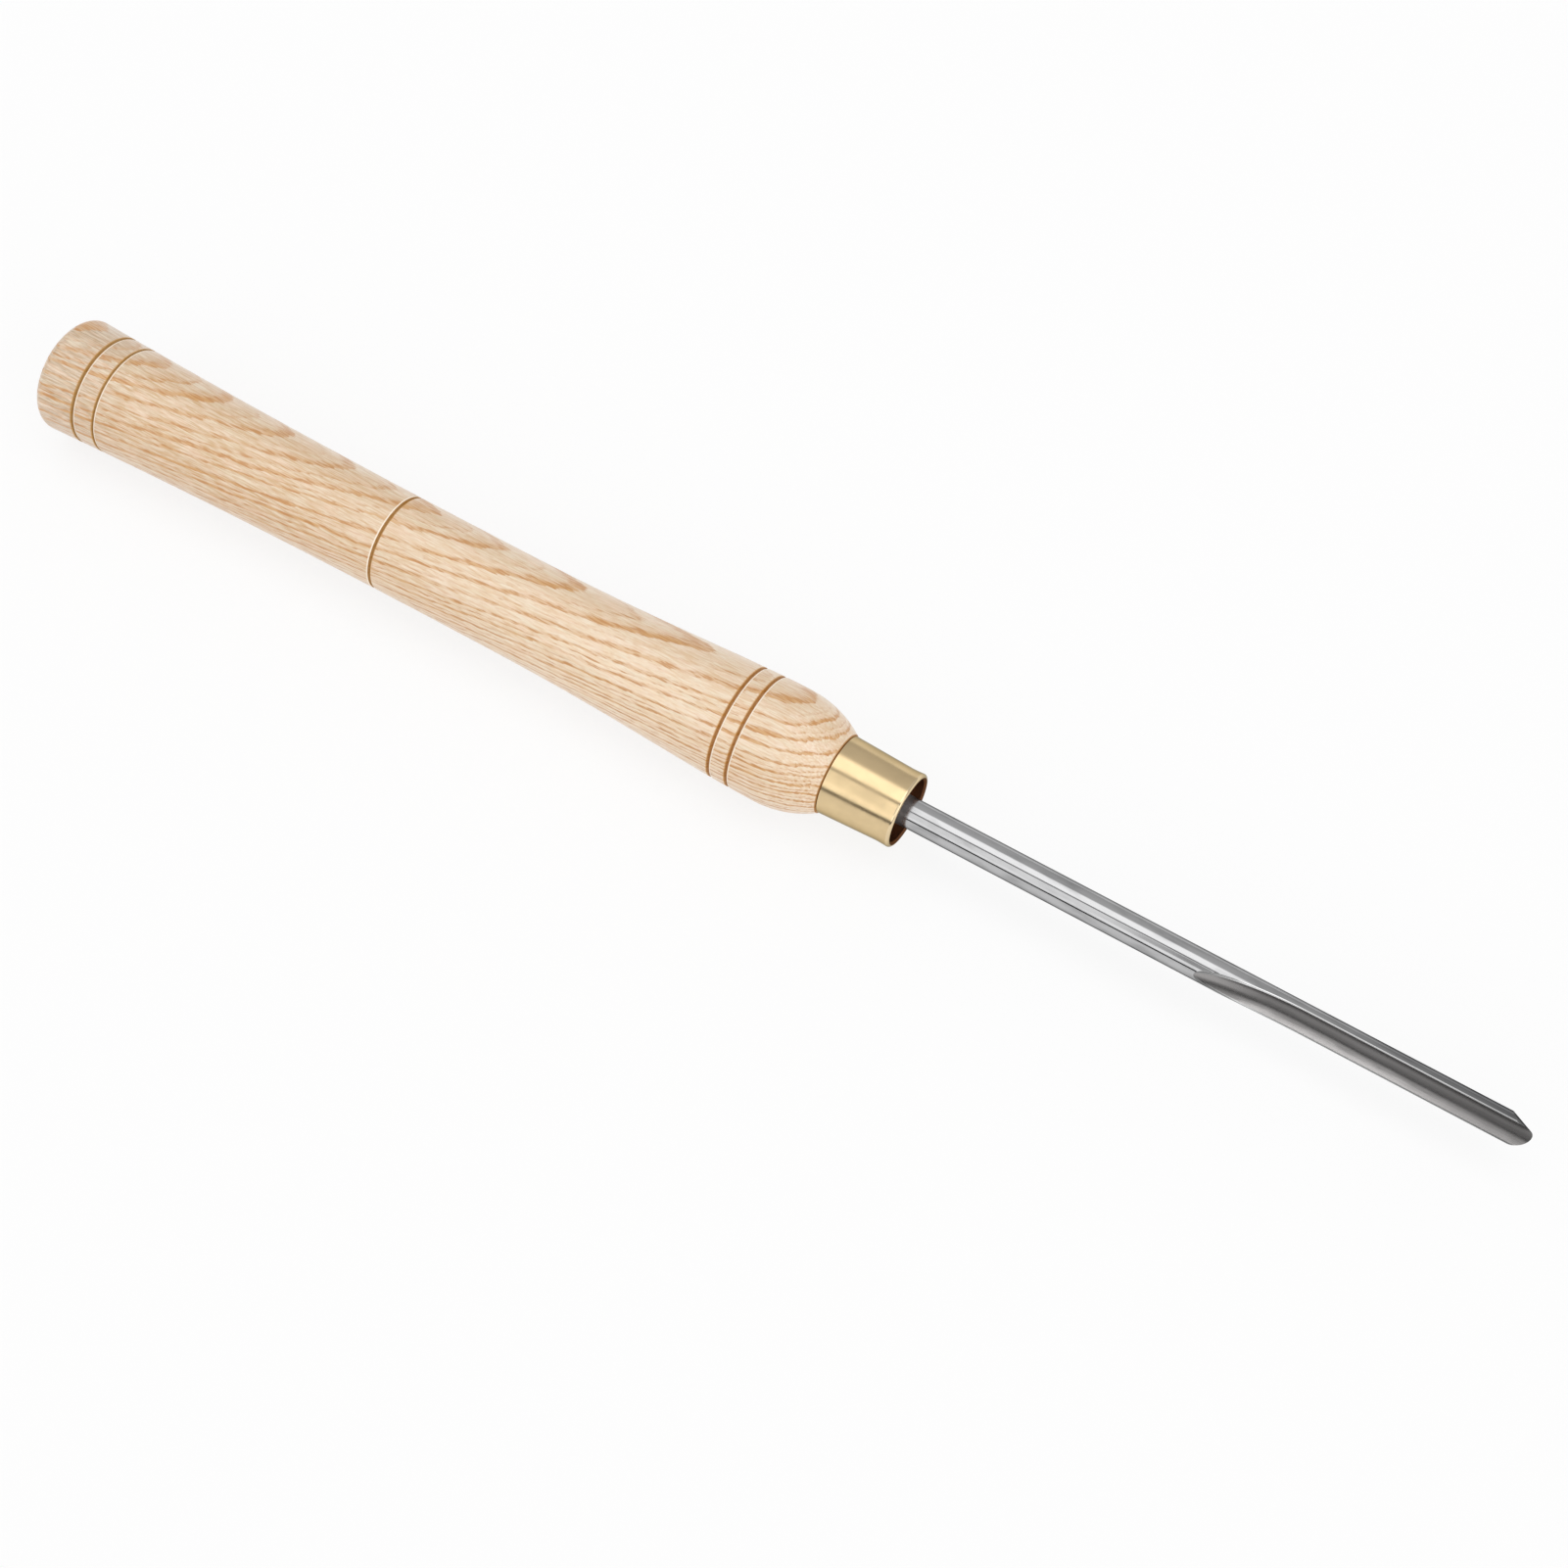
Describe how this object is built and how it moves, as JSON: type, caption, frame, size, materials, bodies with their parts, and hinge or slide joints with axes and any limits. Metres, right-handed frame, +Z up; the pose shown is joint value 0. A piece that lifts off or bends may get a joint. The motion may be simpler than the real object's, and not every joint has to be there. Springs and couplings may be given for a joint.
{
  "type": "woodturning gouge",
  "caption": "Woodturning gouge: a round steel bar with a milled flute and a ground nose, set in a long turned ash handle behind a tapered brass ferrule.",
  "frame": {"origin": "centre of the flat butt face, on the axis of the tool", "axes": "+X along the tool from the butt to the nose, +Z up as the tool lies on a bench, with the flute facing -Y and a little up"},
  "size_m": [0.4317, 0.0322, 0.0322],
  "materials": {
    "ash": "turned ash under a thin clear satin lacquer",
    "brass": "fine-turned satin brass",
    "steel": "drawn bar, satin, with a ground flute and nose",
    "adhesive": "cured clear adhesive"
  },
  "bodies": {
    "root": {"handle": "ash", "ferrule": "brass", "gouge_bar": "steel", "tang_adhesive": "adhesive"}
  },
  "joints": []
}
